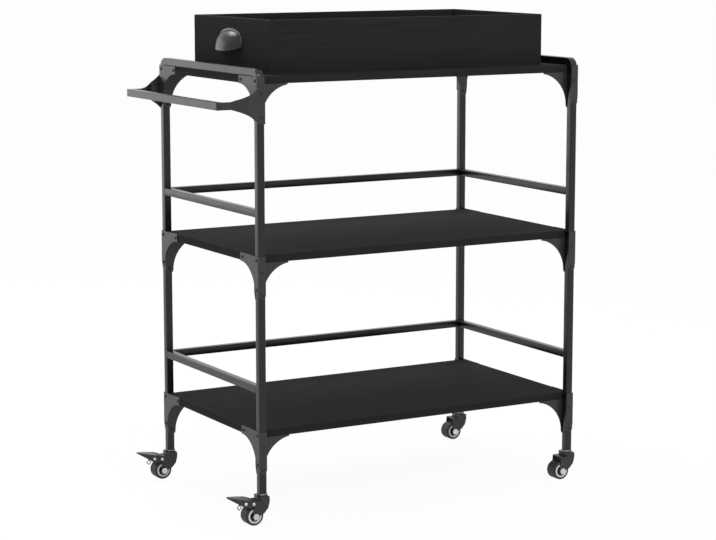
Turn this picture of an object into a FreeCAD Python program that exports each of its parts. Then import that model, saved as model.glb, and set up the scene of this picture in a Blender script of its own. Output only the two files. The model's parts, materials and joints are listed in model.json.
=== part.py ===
import FreeCAD, Part

import operator
import os

import Sketcher
from FreeCAD import Placement, Rotation, Vector

# A kitchen cart on four casters: two bent square-tube side frames, three wooden boards held by
# sheet-steel corner brackets, six rails, a handle bar on the left end and a loose tray on top.
# Millimetres. X runs along the cart, Y from front to rear, Z up, with the origin on the floor
# under the middle of the whole cart.

# Driving dimensions
SIZES = {
    # side frames and rails, of square tube
    "frame_length": 742,
    "frame_depth": 438,
    "tube": 15,
    "wall": 1.2,
    "tube_corner": 2.5,
    "bend_radius": 12.5,
    "leg_bottom": 60,
    "rail_rise": 90,
    "plug_length": 20,
    "plug_fit": 0.1,
    # boards
    "lowest_board": 168,
    "board_pitch": 345,
    "board": 15,
    "board_gap": 0.3,
    "board_edge": 1,
    # corner brackets
    "sheet": 1.5,
    "wing_reach": 60,
    "wing_tip": 1,
    "wing_arc": 59.5,
    "web_drop": 58.5,
    "web_tail": 13.1,
    "tab_drop": 67.7,
    "tab_screw_drop": 15.3,
    "plate_reach": 58,
    "plate_tip": 2.5,
    "plate_arc": 65,
    "plate_drop": 75,
    "plate_tail": 17,
    "plate_screw_edge": 10.5,
    "flange_width": 14,
    "flange_length": 40,
    # screws
    "screw_edge": 7.7,
    "screw": 1.75,
    "screw_fit": 0.15,
    "screw_head": 2,
    "head_radius": 3.6,
    "leg_screw_length": 7,
    "board_screw_length": 13,
    # handle
    "handle_reach": 80.5,
    "handle_drop": 39,
    "horn": 2,
    "horn_root": 36,
    "horn_notch": 2,
    "horn_arc": 100,
    "horn_waist": 50,
    "crank_start": 20,
    "crank_end": 40,
    "crank_corner": 0.7,
    # tray
    "tray_end_gap": 39.5,
    "tray_side_gap": 38,
    "tray_height": 104,
    "panel": 12,
    "panel_edge": 1.5,
    "tray_floor": 9,
    "floor_gap": 0.2,
    "dowel": 3,
    "dowel_length": 20,
    "dowel_in_end": 8,
    "dowel_drop": 22,
    "dowel_fit": 0.1,
    # cup pulls
    "pull_rise": 39,
    "pull_width": 105,
    "pull_height": 44,
    "pull_reach": 25,
    "pull_rim": 4,
    "pull_wall": 1.5,
    "pull_boss": 4,
    "pull_boss_spread": 34,
    "pull_boss_rise": 14,
    "pull_screw_bite": 6,
    # casters
    "wheel_radius": 19,
    "wheel_width": 28,
    "shoulder": 3,
    "hub_radius": 14.5,
    "rim_inner": 10.5,
    "rim_inset": 0.4,
    "hub_web": 8,
    "hub_boss": 6,
    "trail": 22,
    "axle": 3,
    "running_gap": 0.3,
    "nut_radius": 6.8,
    "nut_height": 4,
    "fork_sheet": 1.5,
    "fork_side_gap": 0.5,
    "fork_end": 7.5,
    "hood_top": 56,
    "hood_boss": 11.5,
    "hood_boss_height": 1,
    "hood_step": 9,
    "fork_back": 24,
    "back_top": 48.5,
    "fork_front": 9,
    "fork_belly": 9.5,
    "belly_height": 46.5,
    "fork_shin": 6,
    "shin_height": 33,
    "fork_ankle": 3,
    "ankle_height": 23,
    "fork_heel": 25,
    "heel_height": 36,
    "stem": 4.5,
    "stem_top": 92,
    "race": 10.5,
    "retainer": 7,
    "retainer_height": 3,
    "stem_plug_length": 36,
    # brake pedals
    "pivot_reach": 27,
    "pivot_height": 45,
    "pivot": 2.4,
    "pivot_ear": 4.2,
    "rivet": 3.2,
    "rivet_height": 1.2,
    "rivet_reach": 44,
    "rivet_lift": 47.5,
    "cheek": 1.5,
    "cheek_front": 19,
    "cheek_front_top": 49,
    "cheek_front_bottom": 41,
    "cheek_low_reach": 34.5,
    "cheek_low": 37,
    "tread_start": 33.1,
    "tread_start_height": 54,
    "tread_crest": 41.5,
    "crest_height": 54.5,
    "tread_shoulder": 46,
    "tip_reach": 76.5,
    "tip_round": 8,
    "tip_top": 61,
    "tip_bottom": 58.6,
    "keel_reach": 53.5,
    "keel_height": 45,
    "toe_reach": 48.1,
    "toe_height": 41.5,
    "pad_back": 39.5,
    "pad_back_height": 36.7,
    "pad_front": 31.5,
    "pad_front_height": 38.7,
    "lug_reach": 53,
    "lug_bottom": 34.5,
    "lug_width": 8,
    "lug_sheet": 3,
    # cutting tools stand out by this much
    "overrun": 2,
}

# outside radius of a fold in the brackets, as a share of their sheet
FOLD_SHARE = 0.85

LEFT, RIGHT = -1, 1
FRONT, REAR = -1, 1
SIDES = {"left": LEFT, "right": RIGHT}
ENDS = {"front": FRONT, "rear": REAR}

UP = Vector(0, 0, 1)
UNTURNED = Rotation()
PLANES = {
    "XY": (UNTURNED, 2),
    "XZ": (Rotation(Vector(1, 0, 0), 90), 1),
    "YZ": (Rotation(Vector(1, 1, 1), 120), 0),
}

doc = FreeCAD.newDocument("KitchenCart")
sheet = doc.addObject("Spreadsheet::Sheet", "Sizes")
for row, (alias, length) in enumerate(SIZES.items(), 1):
    sheet.set(f"A{row}", alias)
    sheet.set(f"B{row}", str(length))
    sheet.setAlias(f"B{row}", alias)
doc.recompute()


# Sizes that carry their own expression

OPERATIONS = {"+": operator.add, "-": operator.sub, "*": operator.mul, "/": operator.truediv}


class Size:
    """A length together with the expression that works it out from the sheet."""

    def __init__(self, value, text):
        self.value = value
        self.text = text

    def __add__(self, other):
        return combined(self, other, "+")

    def __radd__(self, other):
        return combined(other, self, "+")

    def __sub__(self, other):
        return combined(self, other, "-")

    def __rsub__(self, other):
        return combined(other, self, "-")

    def __mul__(self, other):
        return combined(self, other, "*")

    def __rmul__(self, other):
        return combined(other, self, "*")

    def __truediv__(self, other):
        return combined(self, other, "/")

    def __neg__(self):
        return combined(0, self, "-")


class Sheet:
    """Gives each alias of the sheet as a Size."""

    def __getattr__(self, alias):
        return Size(SIZES[alias], "Sizes." + alias)


def as_size(number):
    if isinstance(number, Size):
        return number
    return Size(number, str(number))


def combined(left, right, sign):
    left = as_size(left)
    right = as_size(right)
    value = OPERATIONS[sign](left.value, right.value)
    return Size(value, f"({left.text} {sign} {right.text})")


def bind(item, target, size):
    item.setExpression(target, as_size(size).text)


def place(item, x, y, z, rotation=UNTURNED):
    """Puts an object at a point of the sheet, turned as asked."""
    spot = [as_size(x), as_size(y), as_size(z)]
    item.Placement = Placement(Vector(*[size.value for size in spot]), rotation)
    for axis, size in zip("xyz", spot):
        bind(item, ".Placement.Base." + axis, size)
    return item


# Outlines, drawn in sketches

def arc_centre(begin, end, bend):
    """Centre of the short arc of radius abs(bend) that turns left for a positive bend."""
    half = (end - begin) * 0.5
    rise = (bend * bend - half.Length * half.Length) ** 0.5
    across = Vector(-half.y, half.x, 0).normalize()
    turn = 1 if bend > 0 else -1
    return begin + half + across * (rise * turn)


def arc_of(begin, end, bend):
    centre = arc_centre(begin, end, bend)
    first, last = (begin, end) if bend > 0 else (end, begin)
    ray = Vector(1, 0, 0)
    angles = []
    for point in (first, last):
        arm = point - centre
        angle = ray.getAngle(arm)
        angles.append(angle if arm.y >= 0 else -angle)
    return Part.ArcOfCircle(Part.Circle(centre, UP, abs(bend)), angles[0], angles[1])


def draw(sketch, outline, holes=()):
    """Closed outline of corners (u, v) or (u, v, bend), where a bend makes the edge that
    follows the corner an arc of that radius; holes are circles (u, v, radius)."""
    corners = []
    for u, v, *bend in outline:
        corners.append((as_size(u), as_size(v), as_size(bend[0]) if bend else None))
    first = sketch.GeometryCount
    ends = []
    for number, (u, v, bend) in enumerate(corners):
        after = corners[(number + 1) % len(corners)]
        begin = Vector(u.value, v.value, 0)
        end = Vector(after[0].value, after[1].value, 0)
        if bend is None:
            sketch.addGeometry(Part.LineSegment(begin, end))
        else:
            sketch.addGeometry(arc_of(begin, end, bend.value))
        backwards = bend is not None and bend.value < 0
        ends.append((2, 1) if backwards else (1, 2))
    rules = []
    texts = []
    for number, (u, v, bend) in enumerate(corners):
        edge = first + number
        after = (number + 1) % len(corners)
        start, finish = ends[number]
        rules.append(Sketcher.Constraint("Coincident", edge, finish, first + after, ends[after][0]))
        texts.append(None)
        rules.append(Sketcher.Constraint("DistanceX", -1, 1, edge, start, u.value))
        texts.append(u.text)
        rules.append(Sketcher.Constraint("DistanceY", -1, 1, edge, start, v.value))
        texts.append(v.text)
        if bend is not None:
            rules.append(Sketcher.Constraint("Radius", edge, abs(bend.value)))
            texts.append(bend.text if bend.value > 0 else (-bend).text)
    for u, v, radius in holes:
        u, v, radius = as_size(u), as_size(v), as_size(radius)
        edge = sketch.addGeometry(Part.Circle(Vector(u.value, v.value, 0), UP, radius.value))
        rules.append(Sketcher.Constraint("DistanceX", -1, 1, edge, 3, u.value))
        texts.append(u.text)
        rules.append(Sketcher.Constraint("DistanceY", -1, 1, edge, 3, v.value))
        texts.append(v.text)
        rules.append(Sketcher.Constraint("Radius", edge, radius.value))
        texts.append(radius.text)
    numbers = sketch.addConstraint(rules)
    for number, text in zip(numbers, texts):
        if text:
            sketch.setExpression(f"Constraints[{number}]", text)
    return sketch


def mirrored(outline, sign):
    """The outline with its first coordinate, and the turn of its arcs, multiplied by the sign."""
    return [(sign * corner[0], corner[1], *[sign * bend for bend in corner[2:]]) for corner in outline]


def rounded_square(width, corner):
    """Outline of a square section round its own centre."""
    half = width / 2
    flat = half - corner
    return [
        (half, -flat), (half, flat, corner), (flat, half), (-flat, half, corner),
        (-half, flat), (-half, -flat, corner), (-flat, -half), (flat, -half, corner),
    ]


def rectangle(width, height):
    """Outline of a rectangle from the origin."""
    return [(0, 0), (width, 0), (width, height), (0, height)]


# Solids of the Part workbench

def block(name, x, y, z):
    """Box between pairs of places along each axis."""
    item = doc.addObject("Part::Box", name)
    for target, (low, high) in (("Length", x), ("Width", y), ("Height", z)):
        bind(item, target, high - low)
    return place(item, x[0], y[0], z[0])


def span(sign, near, far):
    """A stretch from near to far, measured inwards from a corner, as low and high ends."""
    return (near, far) if sign > 0 else (-far, -near)


def rod(name, radius, length, x, y, z, rotation=UNTURNED):
    item = doc.addObject("Part::Cylinder", name)
    bind(item, "Radius", radius)
    bind(item, "Height", length)
    return place(item, x, y, z, rotation)


def along(direction):
    """Turns the Z axis to a direction."""
    return Rotation(UP, direction)


def slab(name, plane, outline, level, thickness, direction, holes=()):
    """Outline on a plane at a level of its third axis, extruded by a thickness."""
    sketch = doc.addObject("Sketcher::SketchObject", name + "_outline")
    turn, axis = PLANES[plane]
    offset = [0, 0, 0]
    offset[axis] = level
    place(sketch, *offset, turn)
    draw(sketch, outline, holes)
    item = doc.addObject("Part::Extrusion", name)
    item.Base = sketch
    item.DirMode = "Custom"
    item.Dir = direction
    item.Solid = True
    item.FaceMakerClass = "Part::FaceMakerBullseye"
    bind(item, "LengthFwd", thickness)
    return item


def fuse(name, items):
    item = doc.addObject("Part::MultiFuse", name)
    item.Shapes = items
    item.Refine = True
    return item


def common(name, items):
    item = doc.addObject("Part::MultiCommon", name)
    item.Shapes = items
    return item


def compound(name, items):
    item = doc.addObject("Part::Compound", name)
    item.Links = items
    return item


def cut(name, base, tools):
    item = doc.addObject("Part::Cut", name)
    item.Base = base
    item.Tool = tools[0] if len(tools) == 1 else compound(name + "_tools", tools)
    return item


def fillet(name, base, radius, wanted):
    """Rounds the edges of a solid that a test picks."""
    base.recompute(True)
    item = doc.addObject("Part::Fillet", name)
    item.Base = base
    edges = enumerate(base.Shape.Edges, 1)
    item.Edges = [(number, radius.value, radius.value) for number, edge in edges if wanted(edge)]
    return item


def copies(name, master, spots):
    """Links to one solid at each spot (x, y, z, rotation)."""
    items = []
    for number, (x, y, z, rotation) in enumerate(spots, 1):
        item = doc.addObject("App::Link", f"{name}_{number}")
        item.LinkedObject = master
        item.LinkTransform = True
        items.append(place(item, x, y, z, rotation))
    return items


# Bodies of the PartDesign workbench

def body_sketch(body, plane, name, outline, holes=()):
    sketch = body.newObject("Sketcher::SketchObject", name)
    origin = {item.Role: item for item in body.Origin.OriginFeatures}
    sketch.AttachmentSupport = [(origin[plane], "")]
    sketch.MapMode = "FlatFace"
    return draw(sketch, outline, holes)


def padded(name, plane, outline, length, backwards=False, holes=()):
    """Body with one pad."""
    body = doc.addObject("PartDesign::Body", name)
    sketch = body_sketch(body, plane, name + "_outline", outline, holes)
    pad = body.newObject("PartDesign::Pad", name + "_pad")
    pad.Profile = sketch
    pad.Reversed = backwards
    bind(pad, "Length", length)
    return body


def pocketed(body, plane, outline, name):
    """Cuts an outline through the whole body, both ways."""
    sketch = body_sketch(body, plane, name + "_outline", outline)
    pocket = body.newObject("PartDesign::Pocket", name)
    pocket.Profile = sketch
    pocket.Type = "ThroughAll"
    pocket.Midplane = True
    return body


def revolved(name, outline):
    """Body of revolution round the Y axis; the outline gives places along Y and radii."""
    body = doc.addObject("PartDesign::Body", name)
    sketch = body_sketch(body, "YZ_Plane", name + "_outline", outline)
    turn = body.newObject("PartDesign::Revolution", name + "_turn")
    turn.Profile = sketch
    turn.ReferenceAxis = (sketch, ["H_Axis"])
    return body


def rounded(body, radius, wanted):
    """Rounds the edges of a body that a test picks."""
    doc.recompute()
    base = body.Tip
    edges = enumerate(base.Shape.Edges, 1)
    names = [f"Edge{number}" for number, edge in edges if wanted(edge)]
    round_over = body.newObject("PartDesign::Fillet", body.Name + "_edges")
    round_over.Base = (base, names)
    bind(round_over, "Radius", radius)
    return body


def is_long(edge):
    """True for the straight edges of a board or panel that run along its faces."""
    direction = edge.tangentAt(edge.FirstParameter)
    return abs(direction.z) < 0.5


s = Sheet()
nodes = []


def keep(item, name):
    """Names a finished sub-part."""
    item.Label = name
    nodes.append(item)
    return item


# Places shared by several sub-parts

right_overhangs = (s.hood_boss - s.tube / 2, s.fork_belly - s.tube / 2, s.sheet + s.screw_head)
cart_shift = (s.handle_reach - max(right_overhangs, key=lambda size: size.value)) / 2
board_levels = {
    "lower": s.lowest_board,
    "middle": s.lowest_board + s.board_pitch,
    "top": s.lowest_board + 2 * s.board_pitch,
}
board_top = board_levels["top"] + s.board
frame_top = board_top + s.tube
handle_height = board_levels["top"] - s.handle_drop
screw_bore = s.screw + s.screw_fit
bore = s.tube - 2 * s.wall
bore_corner = s.tube_corner - s.wall
plug_width = bore - 2 * s.plug_fit
caster_half = s.wheel_width / 2 + s.fork_side_gap
fork_outer = caster_half + s.fork_sheet


def end_face(side):
    """X of the legs' outer end faces."""
    return cart_shift + side * (s.frame_length / 2)


def long_face(end):
    """Y of the legs' outer long faces."""
    return end * (s.frame_depth / 2)


def leg_x(side):
    return end_face(side) - side * (s.tube / 2)


def leg_y(end):
    return long_face(end) - end * (s.tube / 2)


# Side frames: each one square tube, bent twice

def frame_path(sketch):
    """Centre line of a side frame, open at both feet, in a sketch on the YZ plane."""
    half = s.frame_depth / 2 - s.tube / 2
    flat = half - s.bend_radius
    peak = frame_top - s.tube / 2
    knee = peak - s.bend_radius
    points = [
        (-half, s.leg_bottom), (-half, knee), (-flat, peak),
        (flat, peak), (half, knee), (half, s.leg_bottom),
    ]
    spots = [Vector(u.value, v.value, 0) for u, v in points]
    bend = -s.bend_radius.value
    sketch.addGeometry(Part.LineSegment(spots[0], spots[1]))
    sketch.addGeometry(arc_of(spots[1], spots[2], bend))
    sketch.addGeometry(Part.LineSegment(spots[2], spots[3]))
    sketch.addGeometry(arc_of(spots[3], spots[4], bend))
    sketch.addGeometry(Part.LineSegment(spots[4], spots[5]))
    joins = [(0, 2, 1, 2), (1, 1, 2, 1), (2, 2, 3, 2), (3, 1, 4, 1)]
    for join in joins:
        sketch.addConstraint(Sketcher.Constraint("Coincident", *join))
    starts = [(0, 1), (0, 2), (2, 1), (2, 2), (4, 1), (4, 2)]
    for (edge, point), (u, v) in zip(starts, points):
        for kind, size in (("DistanceX", u), ("DistanceY", v)):
            number = sketch.addConstraint(Sketcher.Constraint(kind, -1, 1, edge, point, size.value))
            bind(sketch, f"Constraints[{number}]", size)
    for edge in (1, 3):
        number = sketch.addConstraint(Sketcher.Constraint("Radius", edge, s.bend_radius.value))
        bind(sketch, f"Constraints[{number}]", s.bend_radius)
    return sketch


def bent_tube(name):
    body = doc.addObject("PartDesign::Body", name)
    origin = {item.Role: item for item in body.Origin.OriginFeatures}
    path = body.newObject("Sketcher::SketchObject", name + "_path")
    path.AttachmentSupport = [(origin["YZ_Plane"], "")]
    path.MapMode = "FlatFace"
    frame_path(path)
    passes = (
        ("outside", "PartDesign::AdditivePipe", s.tube, s.tube_corner),
        ("bore", "PartDesign::SubtractivePipe", bore, bore_corner),
    )
    for word, kind, width, corner in passes:
        profile = body.newObject("Sketcher::SketchObject", f"{name}_{word}_outline")
        profile.AttachmentSupport = [(origin["XY_Plane"], "")]
        profile.MapMode = "FlatFace"
        half = s.frame_depth / 2 - s.tube / 2
        profile.AttachmentOffset = Placement(Vector(0, -half.value, s.leg_bottom.value), Rotation())
        bind(profile, ".AttachmentOffset.Base.y", -half)
        bind(profile, ".AttachmentOffset.Base.z", s.leg_bottom)
        draw(profile, rounded_square(width, corner))
        pipe = body.newObject(kind, f"{name}_{word}")
        pipe.Profile = profile
        pipe.Spine = (path, [f"Edge{number}" for number in range(1, 6)])
    return body


# Screws, as places (x, y, z, direction of the head) worked out for each corner bracket

def bracket_screws(side, end, level):
    """Screws of one bracket into the leg, into the board's end and up into the board."""
    face_x = end_face(side)
    face_y = long_face(end)
    base = board_levels[level]
    middle_x = leg_x(side)
    middle_y = leg_y(end)
    out_x = Vector(side, 0, 0)
    out_y = Vector(0, end, 0)
    web_x = face_x + side * s.sheet
    wing_y = face_y - end * (s.tube + s.wing_reach - s.screw_edge)
    high = base + s.board - s.screw_edge
    plate_y = face_y - end * (s.tube + s.sheet)
    flange_x = face_x - side * (s.tube + s.flange_length / 2)
    flange_y = face_y - end * (s.tube + s.sheet + s.flange_width / 2)
    into_leg = [
        (web_x, middle_y, high, out_x),
        (web_x, middle_y, base - s.web_drop + s.screw_edge, out_x),
        (middle_x, plate_y, base - s.plate_drop + s.plate_screw_edge, -out_y),
    ]
    into_board = [
        (web_x, wing_y, high, out_x),
        (flange_x, flange_y, base - s.sheet, -UP),
    ]
    stack = s.sheet + s.horn if carries_handle(side, level) else s.sheet
    through_tab = [
        (middle_x, face_y + end * stack, base - s.tab_screw_drop, out_y),
        (middle_x, face_y + end * stack, base - s.tab_drop + s.screw_edge, out_y),
    ]
    return into_leg, into_board, through_tab


def carries_handle(side, level):
    return side == LEFT and level == "top"


def turned(places):
    """The places with the turn that points a screw's head the right way."""
    return [(x, y, z, along(direction)) for x, y, z, direction in places]


def screw(name, length):
    """Pan-head screw along the Z axis, with its head above the origin."""
    shank = rod(name + "_shank", s.screw, length, 0, 0, -length)
    head = doc.addObject("Part::Revolution", name + "_head")
    sketch = doc.addObject("Sketcher::SketchObject", name + "_head_outline")
    place(sketch, 0, 0, 0, PLANES["XZ"][0])
    flat = s.head_radius / 2
    draw(sketch, [(0, 0), (s.head_radius, 0, s.head_radius), (flat, s.screw_head), (0, s.screw_head)])
    head.Source = sketch
    head.Axis = UP
    head.Angle = 360
    head.Solid = True
    return fuse(name, [shank, head])


leg_screw = screw("leg_screw", s.leg_screw_length)
board_screw = screw("board_screw", s.board_screw_length)
leg_bore = rod("leg_bore", screw_bore, s.leg_screw_length + s.overrun, 0, 0, -s.leg_screw_length)
board_bore = rod("board_bore", screw_bore, s.board_screw_length + s.overrun, 0, 0, -s.board_screw_length)

for side_name, side in SIDES.items():
    name = "side_frame_" + side_name
    bent = place(bent_tube(name + "_tube"), leg_x(side), 0, 0)
    places = []
    for end in ENDS.values():
        for level in board_levels:
            into_leg, into_board, through_tab = bracket_screws(side, end, level)
            places += into_leg + through_tab
    bores = copies(name + "_bore", leg_bore, turned(places))
    keep(cut(name, bent, bores), name)


# Rails and the handle bar, of the same tube, with square plugs in their ends

def square_tube(name, plane, length, backwards):
    ring = padded(name, plane, rounded_square(s.tube, s.tube_corner), length, backwards)
    return pocketed(ring, plane, rounded_square(bore, bore_corner), name + "_bore")


side_rail_length = s.frame_depth - 2 * s.tube
back_rail_length = s.frame_length - 2 * s.tube
plug_places_y = []
plug_places_x = []
for level in ("middle", "lower"):
    height = board_levels[level] + s.rail_rise + s.tube / 2
    for side_name, side in SIDES.items():
        name = f"rail_{level}_{side_name}"
        rail = square_tube(name, "XZ_Plane", side_rail_length, True)
        keep(place(rail, leg_x(side), -side_rail_length / 2, height), name)
        plug_places_y.append((leg_x(side), -side_rail_length / 2, height, UNTURNED))
        plug_places_y.append((leg_x(side), side_rail_length / 2 - s.plug_length, height, UNTURNED))
    name = f"rail_{level}_back"
    rail = square_tube(name, "YZ_Plane", back_rail_length, False)
    start = cart_shift - back_rail_length / 2
    keep(place(rail, start, leg_y(REAR), height), name)
    plug_places_x.append((start, leg_y(REAR), height, UNTURNED))
    plug_places_x.append((start + back_rail_length - s.plug_length, leg_y(REAR), height, UNTURNED))

bar_x = end_face(LEFT) - s.handle_reach + s.tube / 2
bar = square_tube("handle_bar", "XZ_Plane", side_rail_length, True)
keep(place(bar, bar_x, -side_rail_length / 2, handle_height), "handle_bar")

plug_outline = rounded_square(plug_width, bore_corner)
plug_y = padded("plug_along_depth", "XZ_Plane", plug_outline, s.plug_length, True)
plug_x = padded("plug_along_length", "YZ_Plane", plug_outline, s.plug_length)
bar_plug_base = padded("bar_plug_base", "XZ_Plane", plug_outline, s.plug_length, True,
                       [(0, 0, screw_bore)])
stem_plug = padded("stem_plug", "XY_Plane", plug_outline, s.stem_plug_length, False,
                   [(0, 0, s.stem + s.plug_fit)])
bar_ends = (-side_rail_length / 2, side_rail_length / 2 - s.plug_length)
legs = [(side, end) for side in SIDES.values() for end in ENDS.values()]
feet = [(leg_x(side), leg_y(end), s.leg_bottom, UNTURNED) for side, end in legs]
plugs = copies("rail_plug_y", plug_y, plug_places_y)
plugs += copies("rail_plug_x", plug_x, plug_places_x)
plugs += copies("bar_plug", bar_plug_base, [(bar_x, y, handle_height, UNTURNED) for y in bar_ends])
plugs += copies("foot_plug", stem_plug, feet)
keep(compound("tube_plugs", plugs), "tube_plugs")


# Boards: flush with the legs' outer end faces, between the legs from front to rear

board_depth = s.frame_depth - 2 * (s.tube + s.board_gap)


def board_relief(name, side, end):
    """Room in the top board's corner for the inside of the frame's bend."""
    gap = s.board_gap
    inner_bend = s.bend_radius - s.tube / 2
    x = span(side, -(s.tube + gap), s.overrun)
    y = span(end, -(s.tube + inner_bend + gap), 0 - s.tube + s.overrun)
    x = [end_face(side) + place_x for place_x in x]
    y = [long_face(end) + place_y for place_y in y]
    return block(name, x, y, (board_top - inner_bend - gap, board_top + s.overrun))


for level, base in board_levels.items():
    name = "top_board" if level == "top" else level + "_shelf"
    blank = padded(name + "_blank", "XY_Plane", rectangle(s.frame_length, board_depth), s.board)
    rounded(blank, s.board_edge, is_long)
    place(blank, end_face(LEFT), -board_depth / 2, base)
    places = []
    reliefs = []
    for side in SIDES.values():
        for end in ENDS.values():
            places += bracket_screws(side, end, level)[1]
            if level == "top":
                reliefs.append(board_relief(f"{name}_relief_{len(reliefs)}", side, end))
    keep(cut(name, blank, copies(name + "_bore", board_bore, turned(places)) + reliefs), name)


# Corner brackets: folded sheet round each leg under and beside each board

def web_turn():
    """How far below the board the rounded end of the end web begins."""
    return s.web_drop - s.web_tail / 2


def web_outline():
    """End web with its wing: Y inwards from the leg's outer long face, Z from the board's underside."""
    tip = s.tube + s.wing_reach
    turn = web_turn()
    return [
        (-s.sheet, s.board), (-s.sheet, -turn), (0, -turn, s.web_tail / 2),
        (s.web_tail / 2, -s.web_drop, s.web_tail / 2), (s.web_tail, -turn, -s.wing_arc),
        (tip, -s.wing_tip), (tip, s.board),
    ]


def tab_outline():
    """Tab on the leg's outer long face: X inwards from the leg's end face."""
    half = s.tube / 2
    turn = s.tab_drop - half
    return [
        (-s.sheet, s.board), (-s.sheet, -web_turn()), (0, -turn, half),
        (half, -s.tab_drop, half), (s.tube, -turn), (s.tube, s.board),
    ]


def plate_outline():
    """Plate on the leg's inner long face, with its wing under the board."""
    tip = s.tube + s.plate_reach
    half = s.plate_tail / 2
    turn = s.plate_drop - half
    return [
        (-s.sheet, 0), (-s.sheet, -web_turn()), (0, -turn, half), (half, -s.plate_drop, half),
        (s.plate_tail, -turn, -s.plate_arc), (tip, -s.plate_tip), (tip, 0),
    ]


def bracket(name, side, end, level):
    """One bracket round its leg's corner, where X and Y run inwards."""
    in_x = -side
    in_y = -end
    high = s.board - s.screw_edge
    half = s.tube / 2
    web_holes = [
        (in_y * half, high, screw_bore),
        (in_y * half, s.screw_edge - s.web_drop, screw_bore),
        (in_y * (s.tube + s.wing_reach - s.screw_edge), high, screw_bore),
    ]
    tab_holes = [
        (in_x * half, -s.tab_screw_drop, screw_bore),
        (in_x * half, s.screw_edge - s.tab_drop, screw_bore),
    ]
    plate_holes = [(in_x * half, s.plate_screw_edge - s.plate_drop, screw_bore)]
    out_x = Vector(side, 0, 0)
    out_y = Vector(0, end, 0)
    web_shape = mirrored(web_outline(), in_y)
    tab_shape = mirrored(tab_outline(), in_x)
    plate_shape = mirrored(plate_outline(), in_x)
    web = slab(name + "_web", "YZ", web_shape, 0, s.sheet, out_x, web_holes)
    tab = slab(name + "_tab", "XZ", tab_shape, 0, s.sheet, out_y, tab_holes)
    plate = slab(name + "_plate", "XZ", plate_shape, in_y * s.tube, s.sheet, -out_y, plate_holes)
    flange_x = span(in_x, s.tube, s.tube + s.flange_length)
    flange_y = span(in_y, s.tube, s.tube + s.sheet + s.flange_width)
    flange = block(name + "_flange", flange_x, flange_y, (-s.sheet, as_size(0)))
    hole_x = in_x * (s.tube + s.flange_length / 2)
    hole_y = in_y * (s.tube + s.sheet + s.flange_width / 2)
    through = s.sheet + 2 * s.overrun
    hole = rod(name + "_flange_hole", screw_bore, through, hole_x, hole_y, s.overrun - through)
    flange = cut(name + "_drilled_flange", flange, [hole])
    whole = fuse(name + "_sheet", [web, tab, plate, flange])
    corner = Vector(side * s.sheet.value, end * s.sheet.value, 0)

    def is_fold(edge):
        middle = edge.CenterOfMass
        upright = edge.BoundBox.ZLength > s.sheet.value
        return upright and (Vector(middle.x, middle.y, 0) - corner).Length < s.wall.value

    item = fillet(name, whole, s.sheet * FOLD_SHARE, is_fold)
    return place(item, end_face(side), long_face(end), board_levels[level])


for level in board_levels:
    for end_name, end in ENDS.items():
        for side_name, side in SIDES.items():
            name = f"bracket_{level}_{end_name}_{side_name}"
            keep(bracket(name, side, end, level), name)


# Screws of the brackets and of the handle

leg_places = []
board_places = []
handle_places = []
for level in board_levels:
    for end in ENDS.values():
        for side in SIDES.values():
            into_leg, into_board, through_tab = bracket_screws(side, end, level)
            leg_places += into_leg
            board_places += into_board
            if carries_handle(side, level):
                handle_places += through_tab
            else:
                leg_places += through_tab
for end in ENDS.values():
    bar_end = end * (side_rail_length / 2 + s.horn)
    handle_places.append((bar_x, bar_end, handle_height, Vector(0, end, 0)))
screws = copies("into_leg", leg_screw, turned(leg_places))
screws += copies("into_board", board_screw, turned(board_places))
keep(compound("bracket_screws", screws), "bracket_screws")
keep(compound("handle_screws", copies("handle_screw", leg_screw, turned(handle_places))), "handle_screws")


# Handle horns: plates over the legs' outer long faces, cranked inwards to the bar's ends

def horn(name, end):
    """One horn round the left leg's corner: X inwards, Y inwards, Z from the bar's centre."""
    in_y = -end
    half = s.tube / 2
    bar_rise = handle_height - board_levels["top"]
    side_view = [
        (s.tube, -s.horn_root), (s.tube, s.horn_root), (s.horn_notch, s.horn_root, -s.horn_arc),
        (-s.horn_waist, half), (-s.handle_reach, half), (-s.handle_reach, -half),
        (-s.horn_waist, -half, -s.horn_arc), (s.horn_notch, -s.horn_root),
    ]
    holes = [
        (half, -s.tab_screw_drop - bar_rise, screw_bore),
        (half, s.screw_edge - s.tab_drop - bar_rise, screw_bore),
        (half - s.handle_reach, 0, screw_bore),
    ]
    outside = s.sheet + s.horn
    level = in_y * (-outside - s.overrun)
    width = outside + s.tube + 2 * s.overrun
    outline = slab(name + "_side", "XZ", side_view, level, width, Vector(0, in_y, 0), holes)
    inner = s.tube - s.horn
    strip = [
        (s.tube, -outside), (s.tube, -s.sheet), (-s.crank_start, -s.sheet), (-s.crank_end, s.tube),
        (-s.handle_reach, s.tube), (-s.handle_reach, inner), (-(s.crank_end - s.crank_corner), inner),
        (-(s.crank_start - s.crank_corner), -outside),
    ]
    strip = [(u, in_y * v) for u, v in strip]
    joggle = slab(name + "_top", "XY", strip, -s.horn_root, 2 * s.horn_root, UP)
    item = common(name, [outline, joggle])
    return place(item, end_face(LEFT), long_face(end), handle_height)


for end_name, end in ENDS.items():
    name = "handle_bracket_" + end_name
    keep(horn(name, end), name)


# Tray: end panels over the full depth, front and back between them, a bottom inside

tray_length = s.frame_length - 2 * (s.tube + s.tray_end_gap)
tray_depth = s.frame_depth - 2 * (s.tube + s.tray_side_gap)
tray_left = cart_shift - tray_length / 2
tray_front = -tray_depth / 2
wall_length = tray_length - 2 * s.panel
tray_top = board_top + s.tray_height


def dowel_places():
    """Starts of the dowels, which run along X through each corner of the tray."""
    places = []
    for start in (tray_left + s.panel - s.dowel_in_end,
                  tray_left + tray_length - s.panel + s.dowel_in_end - s.dowel_length):
        for y in (tray_front + s.panel / 2, -tray_front - s.panel / 2):
            for z in (board_top + s.dowel_drop, tray_top - s.dowel_drop):
                places.append((start, y, z, along(Vector(1, 0, 0))))
    return places


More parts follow.
